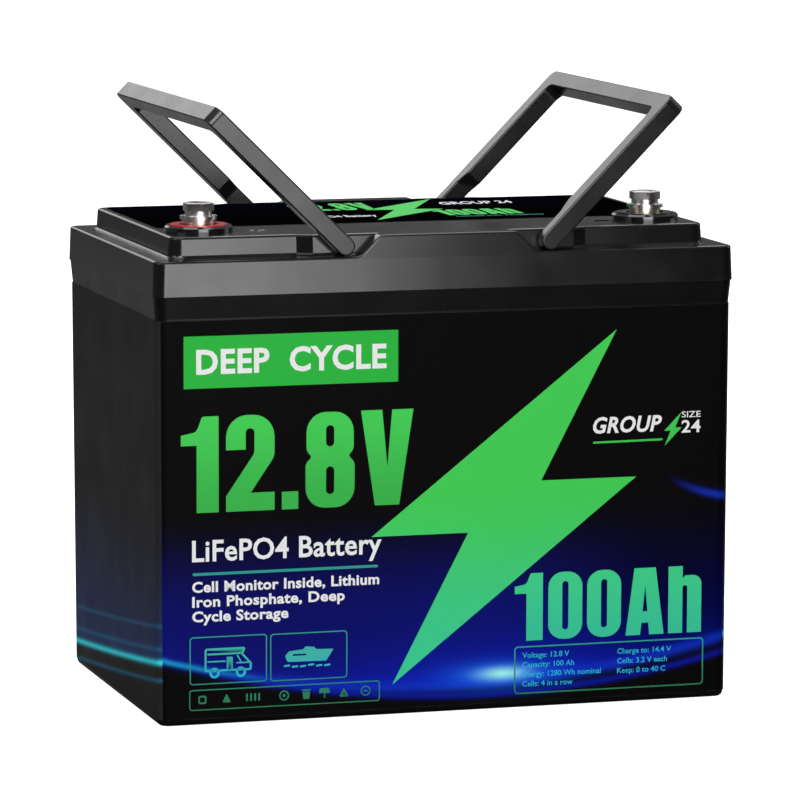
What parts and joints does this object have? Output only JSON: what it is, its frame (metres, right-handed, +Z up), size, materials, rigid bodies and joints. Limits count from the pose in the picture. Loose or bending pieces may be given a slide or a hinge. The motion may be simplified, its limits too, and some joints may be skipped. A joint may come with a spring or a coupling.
{
  "type": "deep cycle battery",
  "caption": "Rectangular deep cycle battery case with stepped lid, two folding carry handles, two bolt terminals and internal cell pack.",
  "frame": {"origin": "middle of the underside of the case", "axes": "+Z up, +X along the long side towards the negative terminal, -Y towards the side that carries the terminals"},
  "size_m": [0.26, 0.168, 0.2658],
  "materials": {
    "case_plastic": "fine moulded grain, black",
    "lid_plastic": "smooth moulded, charcoal",
    "handle_plastic": "fine moulded grain, charcoal",
    "label_film": "printed glossy film",
    "seal_rubber": "matt",
    "collar_plastic": "gloss black",
    "ring_red": "gloss red",
    "ring_black": "gloss black",
    "plated_steel": "bright nickel plate",
    "brass": "machined",
    "pin_steel": "drawn bar",
    "cell_film": "blue wrap film",
    "bare_aluminium": "milled",
    "tinned_copper": "tin plate",
    "glass_laminate": "woven laminate sheet",
    "foam": "closed-cell foam",
    "strap_steel": "rolled band",
    "tray_plastic": "moulded",
    "board_green": "solder mask",
    "chip_black": "moulded package",
    "connector_white": "moulded nylon",
    "cable_red": "silicone jacket",
    "cable_black": "silicone jacket"
  },
  "bodies": {
    "battery": {"case_shell": "case_plastic", "lid_cover": "lid_plastic", "lid_seal": "seal_rubber", "wrap_label": "label_film", "top_label": "label_film", "cell_spacers": "glass_laminate", "end_plates": "bare_aluminium", "compression_straps": "strap_steel", "foam_floor_pad": "foam", "foam_side_pads": "foam", "foam_end_pads": "foam", "cell_posts": "bare_aluminium", "cell_nuts": "plated_steel", "cell_vents": "bare_aluminium", "cell_cover_sheet": "glass_laminate", "series_busbars": "tinned_copper", "cell_lug_positive": "tinned_copper", "cell_lug_negative": "tinned_copper", "bms_tray": "tray_plastic", "bms_board": "board_green", "bms_screws": "plated_steel", "bms_transistors": "chip_black", "bms_heat_sink": "bare_aluminium", "bms_cable_lugs": "tinned_copper", "balance_connector": "connector_white", "main_cable_positive": "cable_red", "main_cable_negative": "cable_black", "board_cable_negative": "cable_black", "balance_wires": "cable_black", "temperature_probe": "cable_black", "cell_1": "cell_film", "cell_2": "cell_film", "cell_3": "cell_film", "cell_4": "cell_film", "terminal_collar_positive": "collar_plastic", "terminal_ring_positive": "ring_red", "terminal_insert_positive": "brass", "terminal_gasket_positive": "seal_rubber", "terminal_nut_positive": "brass", "terminal_lug_positive": "tinned_copper", "polarity_mark_positive": "collar_plastic", "terminal_collar_negative": "collar_plastic", "terminal_ring_negative": "ring_black", "terminal_insert_negative": "brass", "terminal_gasket_negative": "seal_rubber", "terminal_nut_negative": "brass", "terminal_lug_negative": "tinned_copper", "polarity_mark_negative": "collar_plastic"},
    "handle_left": {"handle_left": "handle_plastic", "pivot_pins_left": "pin_steel"},
    "handle_right": {"handle_right": "handle_plastic", "pivot_pins_right": "pin_steel"},
    "washers_positive": {"flat_washer_positive": "plated_steel", "spring_washer_positive": "plated_steel"},
    "washers_negative": {"flat_washer_negative": "plated_steel", "spring_washer_negative": "plated_steel"},
    "bolt_positive": {"terminal_bolt_positive": "plated_steel"},
    "bolt_negative": {"terminal_bolt_negative": "plated_steel"}
  },
  "joints": [
    {"name": "handle_left_fold", "type": "hinge", "parent": "battery", "child": "handle_left", "pos_m": [-0.046, 0, 0.2044], "axis": [0, 1, 0], "range_deg": [-44.5, 70.5]},
    {"name": "handle_right_fold", "type": "hinge", "parent": "battery", "child": "handle_right", "pos_m": [0.046, 0, 0.2044], "axis": [0, -1, 0], "range_deg": [-45.5, 69.5]},
    {"name": "bolt_positive_lift", "type": "slide", "parent": "battery", "child": "washers_positive", "axis": [0, 0, 1], "range_m": [0, 0.0125]},
    {"name": "bolt_positive_turn", "type": "hinge", "parent": "washers_positive", "child": "bolt_positive", "pos_m": [-0.1015, -0.0464, 0.2143], "axis": [0, 0, 1], "range_deg": [0, 3600]},
    {"name": "bolt_negative_lift", "type": "slide", "parent": "battery", "child": "washers_negative", "axis": [0, 0, 1], "range_m": [0, 0.0125]},
    {"name": "bolt_negative_turn", "type": "hinge", "parent": "washers_negative", "child": "bolt_negative", "pos_m": [0.101, -0.0464, 0.2143], "axis": [0, 0, 1], "range_deg": [0, 3600]}
  ],
  "couplings": [
    {"joint": "bolt_positive_turn", "follows": "bolt_positive_lift", "rad_per_m": 5026.5},
    {"joint": "bolt_negative_turn", "follows": "bolt_negative_lift", "rad_per_m": 5026.5}
  ]
}
